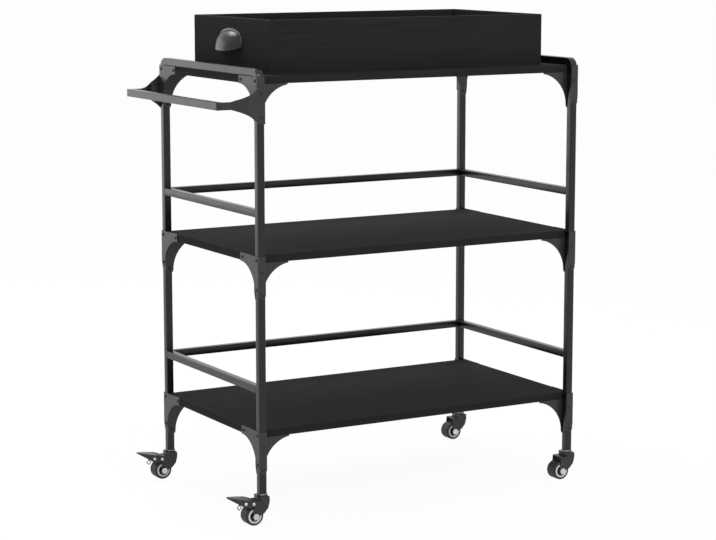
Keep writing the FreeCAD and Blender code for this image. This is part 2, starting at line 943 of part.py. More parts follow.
def pull_screw_places():
    """Heads of the pull screws, on the tray's inner faces, pointing inwards."""
    places = []
    for side in SIDES.values():
        x = cart_shift + side * (tray_length / 2 - s.panel)
        for offset in (-s.pull_boss_spread, s.pull_boss_spread):
            z = board_top + s.pull_rise + s.pull_boss_rise
            places.append((x, offset, z, along(Vector(-side, 0, 0))))
    return places


def tray_panel(name, width, depth, height, x, y):
    blank = padded(name + "_blank", "XY_Plane", rectangle(width, depth), height)
    rounded(blank, s.panel_edge, is_top)
    return place(blank, x, y, board_top)


def is_top(edge):
    """True for the long edges round the top of a tray wall."""
    box = edge.BoundBox
    return box.ZMin > s.tray_height.value / 2 and max(box.XLength, box.YLength) > s.panel.value * 2


dowel = rod("dowel", s.dowel, s.dowel_length, 0, 0, 0)
dowel_hole = rod("dowel_hole", s.dowel + s.dowel_fit, s.dowel_length, 0, 0, 0)
pull_screw_length = s.panel + s.pull_screw_bite
pull_screw = screw("pull_screw", pull_screw_length)
pull_bore = rod("pull_bore", screw_bore, pull_screw_length, 0, 0, -pull_screw_length)

walls = {
    "tray_left": (s.panel, tray_depth, tray_left, tray_front),
    "tray_right": (s.panel, tray_depth, tray_left + tray_length - s.panel, tray_front),
    "tray_front": (wall_length, s.panel, tray_left + s.panel, tray_front),
    "tray_back": (wall_length, s.panel, tray_left + s.panel, -tray_front - s.panel),
}
for name, (width, depth, x, y) in walls.items():
    blank = tray_panel(name, width, depth, s.tray_height, x, y)
    tools = copies(name + "_dowel_hole", dowel_hole, dowel_places())
    tools += copies(name + "_pull_bore", pull_bore, pull_screw_places())
    keep(cut(name, blank, tools), name)
floor_x = tray_left + s.panel + s.floor_gap
floor_y = tray_front + s.panel + s.floor_gap
floor_outline = rectangle(wall_length - 2 * s.floor_gap, tray_depth - 2 * (s.panel + s.floor_gap))
tray_bottom = padded("tray_bottom", "XY_Plane", floor_outline, s.tray_floor)
keep(place(tray_bottom, floor_x, floor_y, board_top), "tray_bottom")
keep(compound("tray_dowels", copies("tray_dowel", dowel, dowel_places())), "tray_dowels")
keep(compound("pull_screws", copies("tray_pull_screw", pull_screw, pull_screw_places())), "pull_screws")


# Cup pulls: quarter domes, open below, with a rim against the tray

def dome(name, reach, half_width, height):
    item = doc.addObject("Part::Ellipsoid", name)
    bind(item, "Radius1", height)
    bind(item, "Radius2", reach)
    bind(item, "Radius3", half_width)
    return item


def cup_pull(name, side):
    """A pull made to face left, then turned about for the right side."""
    half_width = s.pull_width / 2
    shell_width = half_width - s.pull_rim
    shell_height = s.pull_height - s.pull_rim
    wall = s.pull_wall
    outside = dome(name + "_outside", s.pull_reach, shell_width, shell_height)
    hollow = dome(name + "_hollow", s.pull_reach - wall, shell_width - wall, shell_height - wall)
    rim_dome = dome(name + "_rim_dome", s.pull_reach, half_width, s.pull_height)
    y = (-half_width, half_width)
    z = (as_size(0), s.pull_height)
    room = block(name + "_room", (-s.pull_reach, as_size(0)), y, z)
    rim_room = block(name + "_rim_room", (-wall, as_size(0)), y, z)
    shell = common(name + "_quarter", [outside, room])
    rim = common(name + "_rim", [rim_dome, rim_room])
    cup = cut(name + "_cup", fuse(name + "_skin", [shell, rim]), [hollow])
    outwards = along(Vector(-1, 0, 0))
    pieces = [cup]
    tools = []
    for offset in (-s.pull_boss_spread, s.pull_boss_spread):
        number = len(tools)
        post = f"{name}_post_{number}"
        post = rod(post, s.pull_boss, s.pull_reach, 0, offset, s.pull_boss_rise, outwards)
        limit = dome(f"{name}_dome_{number}", s.pull_reach, shell_width, shell_height)
        pieces.append(common(f"{name}_boss_{number}", [post, limit]))
        depth = s.pull_screw_bite + s.overrun
        tapped = f"{name}_tapped_{number}"
        tools.append(rod(tapped, screw_bore, depth, s.overrun, offset, s.pull_boss_rise, outwards))
    item = cut(name, fuse(name + "_solid", pieces), tools)
    turn = UNTURNED if side == LEFT else Rotation(UP, 180)
    return place(item, cart_shift + side * (tray_length / 2), 0, board_top + s.pull_rise, turn)


for side_name, side in SIDES.items():
    name = "cup_pull_" + side_name
    keep(cup_pull(name, side), name)


# Casters: the wheel trails behind the stem, towards the left end

def tyre_outline():
    half = s.wheel_width / 2
    flat = half - s.shoulder
    low = s.wheel_radius - s.shoulder
    return [
        (-half, s.hub_radius), (half, s.hub_radius), (half, low, s.shoulder),
        (flat, s.wheel_radius), (-flat, s.wheel_radius, s.shoulder), (-half, low),
    ]


def hub_outline():
    half = caster_half - s.running_gap
    rim = s.wheel_width / 2 - s.rim_inset
    web = s.hub_web / 2
    near = s.axle + s.running_gap
    return [
        (-half, near), (half, near), (half, s.hub_boss), (web, s.hub_boss), (web, s.rim_inner),
        (rim, s.rim_inner), (rim, s.hub_radius), (-rim, s.hub_radius), (-rim, s.rim_inner),
        (-web, s.rim_inner), (-web, s.hub_boss), (-half, s.hub_boss),
    ]


def axle(name):
    """Bolt through fork and hub, with a hexagon on each end."""
    towards = along(Vector(0, 1, 0))
    length = 2 * fork_outer + s.nut_height
    shaft = rod(name + "_shaft", s.axle, length, 0, -length / 2, 0, towards)
    hexagons = []
    for word, start in (("head", -fork_outer - s.nut_height), ("nut", fork_outer)):
        hexagon = doc.addObject("Part::Prism", f"{name}_{word}")
        hexagon.Polygon = 6
        bind(hexagon, "Circumradius", s.nut_radius)
        bind(hexagon, "Height", s.nut_height)
        hexagons.append(place(hexagon, 0, start, 0, towards))
    return fuse(name, [shaft] + hexagons)


def fork_side():
    """Side view of a fork: X from the stem's axis, Z from the floor."""
    end = s.fork_end
    ankle = (-s.trail + end, s.wheel_radius, -end)
    sole = (-s.trail, s.wheel_radius - end, -end)
    back = [
        (-s.fork_heel, s.heel_height), (-s.fork_back, s.back_top), (-s.hood_step, s.back_top),
        (-s.hood_step, s.hood_top),
    ]
    return [
        (s.fork_front, s.hood_top), (s.fork_belly, s.belly_height), (s.fork_shin, s.shin_height),
        (-s.fork_ankle, s.ankle_height), ankle, sole, (-s.trail - end, s.wheel_radius),
    ] + back


def fork(name, braked):
    """Folded sheet: two legs, a hood over the wheel and a web at the front."""
    side_view = fork_side()
    holes = [(-s.trail, s.wheel_radius, s.axle)]
    outside = slab(name + "_outside", "XZ", side_view, -fork_outer, 2 * fork_outer, Vector(0, 1, 0), holes)
    far = s.fork_back + s.overrun
    front = s.fork_belly + s.overrun
    under_hood = s.hood_top - s.fork_sheet
    under_back = s.back_top - s.fork_sheet
    step = s.fork_sheet - s.hood_step
    room = [
        (-far, under_back), (step, under_back), (step, under_hood), (s.fork_front - s.fork_sheet, under_hood),
        (s.fork_belly - s.fork_sheet, s.belly_height), (s.fork_shin - s.fork_sheet, s.shin_height),
        (front, s.shin_height - s.fork_sheet), (front, 0), (-far - s.trail, 0),
    ]
    hollow = slab(name + "_room", "XZ", room, -caster_half, 2 * caster_half, Vector(0, 1, 0))
    shell = cut(name + "_shell", outside, [hollow])
    boss = rod(name + "_boss", s.hood_boss, s.hood_boss_height + s.fork_sheet, 0, 0, under_hood)
    pieces = [shell, boss]
    if braked:
        towards = along(Vector(0, 1, 0))
        reach = cheek_outer + s.running_gap + s.rivet_height
        x = -s.pivot_reach
        pieces.append(rod(name + "_pivot", s.pivot, 2 * reach, x, -reach, s.pivot_height, towards))
        for word, start in (("front", -reach), ("rear", reach - s.rivet_height)):
            head = f"{name}_head_{word}"
            pieces.append(rod(head, s.rivet, s.rivet_height, x, start, s.pivot_height, towards))
        for word, start in (("front", -fork_outer), ("rear", caster_half)):
            ear = f"{name}_ear_{word}"
            pieces.append(rod(ear, s.pivot_ear, s.fork_sheet, x, start, s.pivot_height, towards))
    solid = fuse(name + "_solid", pieces)
    hole = rod(name + "_stem_hole", s.stem + s.running_gap, s.hood_top, 0, 0, s.shin_height)
    return cut(name, solid, [hole])


def stem(name):
    """Fixed pin in the leg's plug, with the race above the hood and a retainer below it."""
    race_bottom = s.hood_top + s.hood_boss_height + s.running_gap
    retainer_top = s.hood_top - s.fork_sheet - s.running_gap
    low = retainer_top - s.retainer_height
    pin = rod(name + "_pin", s.stem, s.stem_top - low, 0, 0, low)
    race = rod(name + "_race", s.race, s.leg_bottom - race_bottom, 0, 0, race_bottom)
    retainer = rod(name + "_retainer", s.retainer, s.retainer_height, 0, 0, low)
    return fuse(name, [pin, race, retainer])


# Brake pedals: a tread over two cheeks outside the fork, with a pad over the tyre

cheek_inner = fork_outer + s.running_gap
cheek_outer = cheek_inner + s.cheek


def pedal(name):
    towards = along(Vector(0, 1, 0))
    tread_view = [
        (-s.tread_start, s.tread_start_height), (-s.tread_crest, s.crest_height), (-s.tip_reach, s.tip_top),
        (-s.tip_reach, s.tip_bottom), (-s.keel_reach, s.keel_height), (-s.toe_reach, s.toe_height),
        (-s.pad_back, s.toe_height), (-s.tread_start, s.pivot_height),
    ]
    cheek_view = [
        (-s.cheek_front, s.cheek_front_top), (-s.tread_start, s.tread_start_height),
        (-s.tread_crest, s.crest_height), (-s.keel_reach, s.keel_height), (-s.toe_reach, s.toe_height),
        (-s.cheek_low_reach, s.cheek_low), (-s.cheek_front, s.cheek_front_bottom),
    ]
    pad_view = [
        (-s.pad_front, s.pad_front_height), (-s.tread_start, s.pivot_height), (-s.pad_back, s.keel_height),
        (-s.pad_back, s.pad_back_height),
    ]
    lug_view = [
        (-s.toe_reach, s.toe_height + s.lug_sheet), (-s.keel_reach, s.keel_height),
        (-s.lug_reach, s.lug_bottom), (s.lug_sheet - s.lug_reach, s.lug_bottom),
    ]
    plan = [
        (-s.tread_start, cheek_outer), (-s.tread_shoulder, cheek_outer),
        (s.tip_round - s.tip_reach, s.tip_round, s.tip_round), (-s.tip_reach, 0, s.tip_round),
        (s.tip_round - s.tip_reach, -s.tip_round), (-s.tread_shoulder, -cheek_outer),
        (-s.tread_start, -cheek_outer),
    ]
    across = Vector(0, 1, 0)
    wedge = slab(name + "_wedge", "XZ", tread_view, -cheek_outer, 2 * cheek_outer, across)
    tongue = slab(name + "_tongue", "XY", plan, 0, s.tip_top + s.overrun, UP)
    tread = common(name + "_tread", [wedge, tongue])
    pad = slab(name + "_pad", "XZ", pad_view, -(s.wheel_width / 2), s.wheel_width, across)
    lug = slab(name + "_lug", "XZ", lug_view, -s.lug_width / 2, s.lug_width, across)
    pieces = [tread, pad, lug]
    hole = [(-s.pivot_reach, s.pivot_height, s.pivot + s.running_gap)]
    for word, start in (("front", -cheek_outer), ("rear", cheek_inner)):
        pieces.append(slab(f"{name}_cheek_{word}", "XZ", cheek_view, start, s.cheek, across, hole))
    reach = cheek_outer + s.rivet_height
    for word, start in (("front", -reach), ("rear", cheek_outer)):
        rivet = f"{name}_rivet_{word}"
        pieces.append(rod(rivet, s.rivet, s.rivet_height, -s.rivet_reach, start, s.rivet_lift, towards))
    return fuse(name, pieces)


for end_name, end in ENDS.items():
    for side_name, side in SIDES.items():
        corner = f"{end_name}_{side_name}"
        x = leg_x(side)
        y = leg_y(end)
        keep(place(stem("caster_stem_" + corner), x, y, 0), "caster_stem_" + corner)
        keep(place(fork("caster_fork_" + corner, side == LEFT), x, y, 0), "caster_fork_" + corner)
        keep(place(axle("axle_" + corner), x - s.trail, y, s.wheel_radius), "axle_" + corner)
        hub = revolved("wheel_hub_" + corner, hub_outline())
        keep(place(hub, x - s.trail, y, s.wheel_radius), "wheel_hub_" + corner)
        tyre = revolved("tyre_" + corner, tyre_outline())
        keep(place(tyre, x - s.trail, y, s.wheel_radius), "tyre_" + corner)
        if side == LEFT:
            keep(place(pedal("brake_pedal_" + corner), x, y, 0), "brake_pedal_" + corner)


# Checks, and one file for each sub-part

doc.recompute()
failed = [item.Name for item in doc.Objects if "Invalid" in item.State or "Error" in item.State]
assert not failed, f"these objects failed: {failed}"
for item in nodes:
    shape = item.Shape
    assert not shape.isNull() and shape.isValid() and shape.Solids, f"{item.Label} has no sound shape"
for item in nodes:
    item.Shape.exportStep(f"parts/{item.Label}.step")
whole = Part.makeCompound([item.Shape for item in nodes]).BoundBox
print(len(nodes), "sub-parts, box", [round(edge, 2) for edge in (
    whole.XMin, whole.XMax, whole.YMin, whole.YMax, whole.ZMin, whole.ZMax)])
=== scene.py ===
import json
import math

import bmesh
import bpy
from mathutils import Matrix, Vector

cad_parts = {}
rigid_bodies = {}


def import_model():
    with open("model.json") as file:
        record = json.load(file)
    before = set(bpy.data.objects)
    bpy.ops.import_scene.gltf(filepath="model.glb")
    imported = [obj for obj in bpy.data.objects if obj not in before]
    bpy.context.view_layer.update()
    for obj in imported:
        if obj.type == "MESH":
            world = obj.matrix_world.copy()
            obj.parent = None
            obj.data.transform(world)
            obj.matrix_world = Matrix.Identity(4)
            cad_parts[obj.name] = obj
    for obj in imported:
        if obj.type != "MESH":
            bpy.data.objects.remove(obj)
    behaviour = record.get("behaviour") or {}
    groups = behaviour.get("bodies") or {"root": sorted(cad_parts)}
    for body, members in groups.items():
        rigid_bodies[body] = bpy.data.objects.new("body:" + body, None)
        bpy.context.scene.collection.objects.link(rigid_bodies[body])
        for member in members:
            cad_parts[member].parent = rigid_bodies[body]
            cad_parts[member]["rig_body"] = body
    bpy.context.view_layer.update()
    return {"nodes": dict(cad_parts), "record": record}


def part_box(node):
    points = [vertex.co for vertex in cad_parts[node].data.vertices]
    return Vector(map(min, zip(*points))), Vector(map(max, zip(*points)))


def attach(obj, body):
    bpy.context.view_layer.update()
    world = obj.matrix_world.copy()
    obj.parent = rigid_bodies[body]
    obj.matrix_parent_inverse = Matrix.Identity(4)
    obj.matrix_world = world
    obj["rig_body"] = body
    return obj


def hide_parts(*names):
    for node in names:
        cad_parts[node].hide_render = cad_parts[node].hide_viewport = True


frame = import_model()

nodes = frame["nodes"]
collection = bpy.context.scene.collection
MM = 0.001
ACROSS = Vector((0, 1, 0))
QUARTER = math.radians(90)


def box(name):
    """Lowest and highest corner of a node."""
    low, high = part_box(name)
    return Vector(low), Vector(high)


frame_low, frame_high = box("side_frame_left")
tube = frame_high.x - frame_low.x
leg_left = frame_low.x + tube / 2
leg_front = frame_low.y + tube / 2


# Camera: at the photograph's place, tipped down so that the cart fills the frame without a shift

IMAGE_WIDTH = 716
FOCAL_PIXELS = 2176
SENSOR_MM = 36
CAMERA_FROM_LEG = Vector((-1.8988, -3.6814, 0))
CAMERA_HEIGHT = 1.150
VIEW_TURN = math.radians(29.888)
VIEW_TIP = math.radians(8.906)

view_direction = Vector((math.sin(VIEW_TURN), math.cos(VIEW_TURN), -math.tan(VIEW_TIP)))
camera_data = bpy.data.cameras.new("camera")
camera_data.sensor_width = SENSOR_MM
camera_data.lens = SENSOR_MM * FOCAL_PIXELS / IMAGE_WIDTH
camera = bpy.data.objects.new("camera", camera_data)
camera.location = Vector((leg_left, leg_front, CAMERA_HEIGHT)) + CAMERA_FROM_LEG
camera.rotation_euler = view_direction.to_track_quat("-Z", "Y").to_euler()
collection.objects.link(camera)
bpy.context.scene.camera = camera
bpy.context.scene.view_settings.view_transform = "Standard"


# Shader groups shared by the finishes

def shader_group(name, inputs, outputs):
    """An empty shader group with named inputs, given as {name: (kind, default)}."""
    group = bpy.data.node_groups.new(name, "ShaderNodeTree")
    for label, (kind, default) in inputs.items():
        socket = group.interface.new_socket(label, in_out="INPUT", socket_type=kind)
        if default is not None:
            socket.default_value = default
    for label, kind in outputs.items():
        group.interface.new_socket(label, in_out="OUTPUT", socket_type=kind)
    return group, group.nodes.new("NodeGroupInput"), group.nodes.new("NodeGroupOutput")


def colour_of(sockets, label):
    """The colour socket of a Mix node, whose sockets share their names between data types."""
    return next(socket for socket in sockets if socket.name == label and socket.type == "RGBA")


FINISH_INPUTS = {
    "Dark": ("NodeSocketColor", (0.02, 0.02, 0.02, 1)),
    "Light": ("NodeSocketColor", (0.03, 0.03, 0.03, 1)),
    "Smooth": ("NodeSocketFloat", 0.35),
    "Matt": ("NodeSocketFloat", 0.45),
    "Depth": ("NodeSocketFloat", 0.15),
    "Grain": ("NodeSocketFloat", 900.0),
}
FINISH_OUTPUTS = {
    "Color": "NodeSocketColor", "Roughness": "NodeSocketFloat", "Normal": "NodeSocketVector",
}
RELIEF = 0.5 * MM
CLOUD_SCALE = 22
STREAK_SCALE = 2.5
STREAK_STRETCH = (2.5, 55, 55)
PORE_STRETCH = (0.05, 1, 1)


def end_finish(group, start, end, cloud, height):
    """Colour and roughness from the cloud, a normal from the height."""
    link = group.links.new
    colours = group.nodes.new("ShaderNodeMix")
    colours.data_type = "RGBA"
    gloss = group.nodes.new("ShaderNodeMapRange")
    bump = group.nodes.new("ShaderNodeBump")
    bump.inputs["Distance"].default_value = RELIEF
    link(cloud, colours.inputs["Factor"])
    link(start.outputs["Dark"], colour_of(colours.inputs, "A"))
    link(start.outputs["Light"], colour_of(colours.inputs, "B"))
    link(cloud, gloss.inputs["Value"])
    link(start.outputs["Smooth"], gloss.inputs["To Min"])
    link(start.outputs["Matt"], gloss.inputs["To Max"])
    link(start.outputs["Depth"], bump.inputs["Strength"])
    link(height, bump.inputs["Height"])
    link(colour_of(colours.outputs, "Result"), end.inputs["Color"])
    link(gloss.outputs["Result"], end.inputs["Roughness"])
    link(bump.outputs["Normal"], end.inputs["Normal"])


def spread(group, noise, low, high):
    """Stretches a noise's middle values over the whole range."""
    item = group.nodes.new("ShaderNodeMapRange")
    item.inputs["From Min"].default_value = low
    item.inputs["From Max"].default_value = high
    group.links.new(noise.outputs["Fac"], item.inputs["Value"])
    return item.outputs["Result"]


def sprayed_finish():
    """An even skin: fine peel or grain in its bump, slow clouds in its colour and gloss."""
    group, start, end = shader_group("sprayed_finish", FINISH_INPUTS, FINISH_OUTPUTS)
    place = group.nodes.new("ShaderNodeTexCoord")
    peel = group.nodes.new("ShaderNodeTexNoise")
    peel.inputs["Detail"].default_value = 3
    clouds = group.nodes.new("ShaderNodeTexNoise")
    clouds.inputs["Scale"].default_value = CLOUD_SCALE
    clouds.inputs["Detail"].default_value = 4
    group.links.new(place.outputs["Object"], peel.inputs["Vector"])
    group.links.new(place.outputs["Object"], clouds.inputs["Vector"])
    group.links.new(start.outputs["Grain"], peel.inputs["Scale"])
    end_finish(group, start, end, spread(group, clouds, 0.3, 0.7), peel.outputs["Fac"])
    return group


def stained_grain():
    """Long streaks of grain with short open pores, along the X axis of the vector given."""
    inputs = {"Vector": ("NodeSocketVector", None), **FINISH_INPUTS}
    group, start, end = shader_group("stained_grain", inputs, FINISH_OUTPUTS)
    streaks = group.nodes.new("ShaderNodeTexNoise")
    streaks.inputs["Scale"].default_value = STREAK_SCALE
    streaks.inputs["Detail"].default_value = 7
    streaks.inputs["Distortion"].default_value = 0.6
    pores = group.nodes.new("ShaderNodeTexNoise")
    pores.inputs["Detail"].default_value = 2
    for noise, stretched in ((streaks, STREAK_STRETCH), (pores, PORE_STRETCH)):
        aim = group.nodes.new("ShaderNodeMapping")
        aim.inputs["Scale"].default_value = stretched
        group.links.new(start.outputs["Vector"], aim.inputs["Vector"])
        group.links.new(aim.outputs["Vector"], noise.inputs["Vector"])
    group.links.new(start.outputs["Grain"], pores.inputs["Scale"])
    relief = group.nodes.new("ShaderNodeMath")
    relief.operation = "MULTIPLY"
    group.links.new(streaks.outputs["Fac"], relief.inputs[0])
    group.links.new(pores.outputs["Fac"], relief.inputs[1])
    end_finish(group, start, end, spread(group, streaks, 0.35, 0.7), relief.outputs["Value"])
    return group


# Materials

def material(name, group, dark, light, gloss, depth, grain, specular=0.5, metallic=0.0):
    """A finish: two close tones, a range of roughness and the depth and scale of its grain."""
    new = bpy.data.materials.new(name)
    new.use_nodes = True
    tree = new.node_tree
    shader = tree.nodes["Principled BSDF"]
    shader.inputs["Specular IOR Level"].default_value = specular
    shader.inputs["Metallic"].default_value = metallic
    finish = tree.nodes.new("ShaderNodeGroup")
    finish.node_tree = group
    finish.inputs["Dark"].default_value = (*dark, 1)
    finish.inputs["Light"].default_value = (*light, 1)
    finish.inputs["Smooth"].default_value = gloss[0]
    finish.inputs["Matt"].default_value = gloss[1]
    finish.inputs["Depth"].default_value = depth
    finish.inputs["Grain"].default_value = grain
    tree.links.new(finish.outputs["Color"], shader.inputs["Base Color"])
    tree.links.new(finish.outputs["Roughness"], shader.inputs["Roughness"])
    tree.links.new(finish.outputs["Normal"], shader.inputs["Normal"])
    return new, finish


def skin(name, *values, **more):
    """A sprayed, moulded or rolled surface without a grain direction."""
    new, _ = material(name, sprayed, *values, **more)
    return new


def board(name, turn, *values, **more):
    """Wood whose grain runs along X, turned about by the given angles."""
    new, finish = material(name, grained, *values, **more)
    tree = new.node_tree
    place = tree.nodes.new("ShaderNodeTexCoord")
    aim = tree.nodes.new("ShaderNodeMapping")
    aim.inputs["Rotation"].default_value = turn
    tree.links.new(place.outputs["Object"], aim.inputs["Vector"])
    tree.links.new(aim.outputs["Vector"], finish.inputs["Vector"])
    return new


def grey(level, blue=1.02):
    """A grey that leans slightly to blue."""
    return level, level, level * blue


sprayed = sprayed_finish()
grained = stained_grain()
SATIN = (0.3, 0.4)
SOFT_SATIN = (0.3, 0.42)
SMOOTH_STEEL = (0.25, 0.38)
BLACK_WOOD = (grey(0.0125), grey(0.0175, 1.04), (0.78, 0.9), 0.3, 900)
PALE_WOOD = ((0.5, 0.33, 0.19), (0.62, 0.43, 0.26), (0.5, 0.7), 0.3, 900)
tube_coat = skin(
    "satin_black_tube", grey(0.0025), grey(0.005), (0.2, 0.28), 0.06, 900, specular=0.38)
sheet_coat = skin(
    "satin_black_sheet", grey(0.012), grey(0.019), SATIN, 0.12, 1000, specular=0.42)
caster_coat = skin(
    "caster_black_coat", grey(0.012), grey(0.02), SOFT_SATIN, 0.1, 1400, specular=0.4)
pull_coat = skin(
    "gloss_black_coat", grey(0.008), grey(0.013), (0.2, 0.28), 0.05, 1200, specular=0.36)
screw_coat = skin(
    "blackened_screws", grey(0.008), grey(0.014), (0.28, 0.4), 0.08, 2500, specular=0.4)
wood_along = board("black_board_along", (0, 0, 0), *BLACK_WOOD, specular=0.06)
wood_across = board("black_board_across", (0, 0, QUARTER), *BLACK_WOOD, specular=0.06)
dowel_wood = board("beech_dowel", (0, 0, 0), *PALE_WOOD)
tyre_rubber = skin(
    "tyre_rubber", grey(0.016), grey(0.026), (0.5, 0.65), 0.25, 700, specular=0.3)
rim_plastic = skin("pale_rim_plastic", grey(0.5), grey(0.58), (0.35, 0.45), 0.05, 1500)
# Black plastic of the tube plugs and the hub. Inside the wheel's pale ring it also stands for
# painted shade in the hub's recess.
dark_plastic_and_hub_shade = skin("black_hub_plastic", grey(0.014), grey(0.02), (0.4, 0.55), 0.08, 1500)
stem_steel = skin(
    "dull_zinc_steel", grey(0.2), grey(0.3), SMOOTH_STEEL, 0.06, 3000, metallic=1.0)
link_steel = skin(
    "dark_wire_steel", grey(0.05), grey(0.09), SMOOTH_STEEL, 0.06, 3000, metallic=1.0)
zinc_steel = skin(
    "bright_zinc_steel", grey(0.5), grey(0.66), (0.2, 0.32), 0.06, 3000, metallic=1.0)


# Pieces

WELD_REACH = 0.01 * MM
FLAT = math.radians(0.5)
CREASE = math.radians(35)
EDGE_STEPS = 2


def welded(name):
    """A copy of a node's mesh with its loose triangles joined into whole faces."""
    mesh = nodes[name].data.copy()
    work = bmesh.new()
    work.from_mesh(mesh)
    bmesh.ops.remove_doubles(work, verts=work.verts, dist=WELD_REACH)
    bmesh.ops.dissolve_limit(work, angle_limit=FLAT, verts=work.verts, edges=work.edges)
    work.to_mesh(mesh)
    work.free()
    return mesh


def finished(name, mesh, replaced, rides_with):
    """A piece at the origin that rides with a node's body, in place of some nodes."""
    piece = bpy.data.objects.new(name, mesh)
    collection.objects.link(piece)
    mesh.shade_smooth()
    mesh.set_sharp_from_angle(angle=CREASE)
    if replaced:
        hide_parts(*replaced)
    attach(piece, nodes[rides_with]["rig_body"])
    return piece


def refined(name, coats, edge_radius, pick=None, mesh=None):
    """The node's own shape with rounded edges, each face in the coat that pick chooses."""
    mesh = mesh or welded(name)
    mesh.materials.clear()
    for coat in coats:
        mesh.materials.append(coat)
    for face in mesh.polygons:
        corners = [mesh.vertices[at].co for at in face.vertices]
        face.material_index = pick(corners) if pick else 0
    piece = finished(name + "_finished", mesh, [name], name)
    edge = piece.modifiers.new("edge", "BEVEL")
    edge.width = edge_radius
    edge.segments = EDGE_STEPS
    edge.limit_method = "ANGLE"
    edge.angle_limit = CREASE
    edge.harden_normals = True
    return piece


# Geometry trees

def geometry_tree(name, inputs):
    """An empty geometry tree with named inputs, given as {name: socket kind}."""
    tree = bpy.data.node_groups.new(name, "GeometryNodeTree")
    tree.interface.new_socket("Geometry", in_out="INPUT", socket_type="NodeSocketGeometry")
    for label, kind in inputs.items():
        tree.interface.new_socket(label, in_out="INPUT", socket_type=kind)
    tree.interface.new_socket("Geometry", in_out="OUTPUT", socket_type="NodeSocketGeometry")
    return tree, tree.nodes.new("NodeGroupInput"), tree.nodes.new("NodeGroupOutput")


def end_tree(tree, start, end, shape):
    """Realizes what the tree made, gives it its coat and sends it out."""
    real = tree.nodes.new("GeometryNodeRealizeInstances")
    paint = tree.nodes.new("GeometryNodeSetMaterial")
    tree.links.new(shape, real.inputs["Geometry"])
    tree.links.new(real.outputs["Geometry"], paint.inputs["Geometry"])
    tree.links.new(start.outputs["Coat"], paint.inputs["Material"])
    tree.links.new(paint.outputs["Geometry"], end.inputs["Geometry"])


def plain_mesh(carrier):
    """The evaluated mesh of an object, which is then removed."""
    graph = bpy.context.evaluated_depsgraph_get()
    mesh = bpy.data.meshes.new_from_object(carrier.evaluated_get(graph), depsgraph=graph)
    bpy.data.objects.remove(carrier)
    return mesh


def grown(name, mesh, tree, values, wall=0.0):
    """Runs a tree on a mesh and gives back the result as a plain mesh, with a wall if asked."""
    carrier = bpy.data.objects.new(name, mesh)
    collection.objects.link(carrier)
    shape = carrier.modifiers.new("shape", "NODES")
    shape.node_group = tree
    for socket in tree.interface.items_tree:
        if socket.in_out == "INPUT" and socket.name in values:
            shape[socket.identifier] = values[socket.name]
    if wall:
        shell = carrier.modifiers.new("wall", "SOLIDIFY")
        shell.thickness = wall
        shell.offset = -1
    return plain_mesh(carrier)


# Square tube, swept along its centre line, with rounded corners and bends

TUBE_WALL = 1.2 * MM
TUBE_CORNER = 1.7 * MM
BEND_RADIUS = 12.5 * MM
BEND_STEPS = 12
CORNER_STEPS = 5


def tube_tree():
    """Sweeps a rounded square along the given line, rounding the line's own corners."""
    kinds = {
        "Width": "NodeSocketFloat", "Corner": "NodeSocketFloat", "Bend": "NodeSocketFloat",
        "Coat": "NodeSocketMaterial",
    }
    tree, start, end = geometry_tree("square_tube", kinds)
    line = tree.nodes.new("GeometryNodeMeshToCurve")
    bend = tree.nodes.new("GeometryNodeFilletCurve")
    bend.mode = "POLY"
    bend.inputs["Count"].default_value = BEND_STEPS
    square = tree.nodes.new("GeometryNodeCurvePrimitiveQuadrilateral")
    corner = tree.nodes.new("GeometryNodeFilletCurve")
    corner.mode = "POLY"
    corner.inputs["Count"].default_value = CORNER_STEPS
    sweep = tree.nodes.new("GeometryNodeCurveToMesh")
    link = tree.links.new
    link(start.outputs["Geometry"], line.inputs["Mesh"])
    link(line.outputs["Curve"], bend.inputs["Curve"])
    link(start.outputs["Bend"], bend.inputs["Radius"])
    link(start.outputs["Width"], square.inputs["Width"])
    link(start.outputs["Width"], square.inputs["Height"])
    link(square.outputs["Curve"], corner.inputs["Curve"])
    link(start.outputs["Corner"], corner.inputs["Radius"])
    link(bend.outputs["Curve"], sweep.inputs["Curve"])
    link(corner.outputs["Curve"], sweep.inputs["Profile Curve"])
    end_tree(tree, start, end, sweep.outputs["Mesh"])
    return tree


square_tube = tube_tree()


def swept_tube(name, points, bend=0.0):
    """Square tube through the points, in place of the node of the same name."""
    line = bpy.data.meshes.new(name + "_line")
    line.from_pydata(points, [(at, at + 1) for at in range(len(points) - 1)], [])
    values = {"Width": tube, "Corner": TUBE_CORNER, "Bend": bend, "Coat": tube_coat}
    mesh = grown(name + "_line", line, square_tube, values, TUBE_WALL)
    finished(name + "_tube", mesh, [name], name)


def frame_line(name):
    """Centre line of a side frame: up the front leg, over the top and down the rear leg."""
    low, high = box(name)
    x = (low.x + high.x) / 2
    front = low.y + tube / 2
    rear = high.y - tube / 2
    top = high.z - tube / 2
    return [(x, front, low.z), (x, front, top), (x, rear, top), (x, rear, low.z)]


def straight_line(name):
    """Centre line of a rail, along its longest side."""
    low, high = box(name)
    size = high - low
    axis = 0 if size.x > size.y else 1
    begin = (low + high) / 2
    finish = begin.copy()
    begin[axis] = low[axis]
    finish[axis] = high[axis]
    return [begin, finish]


for name in sorted(nodes):
    if name.startswith("side_frame"):
        swept_tube(name, frame_line(name), BEND_RADIUS)
    elif name.startswith("rail") or name == "handle_bar":
        swept_tube(name, straight_line(name))


# Screws and rivets: one head each, set on every place and turned by chance

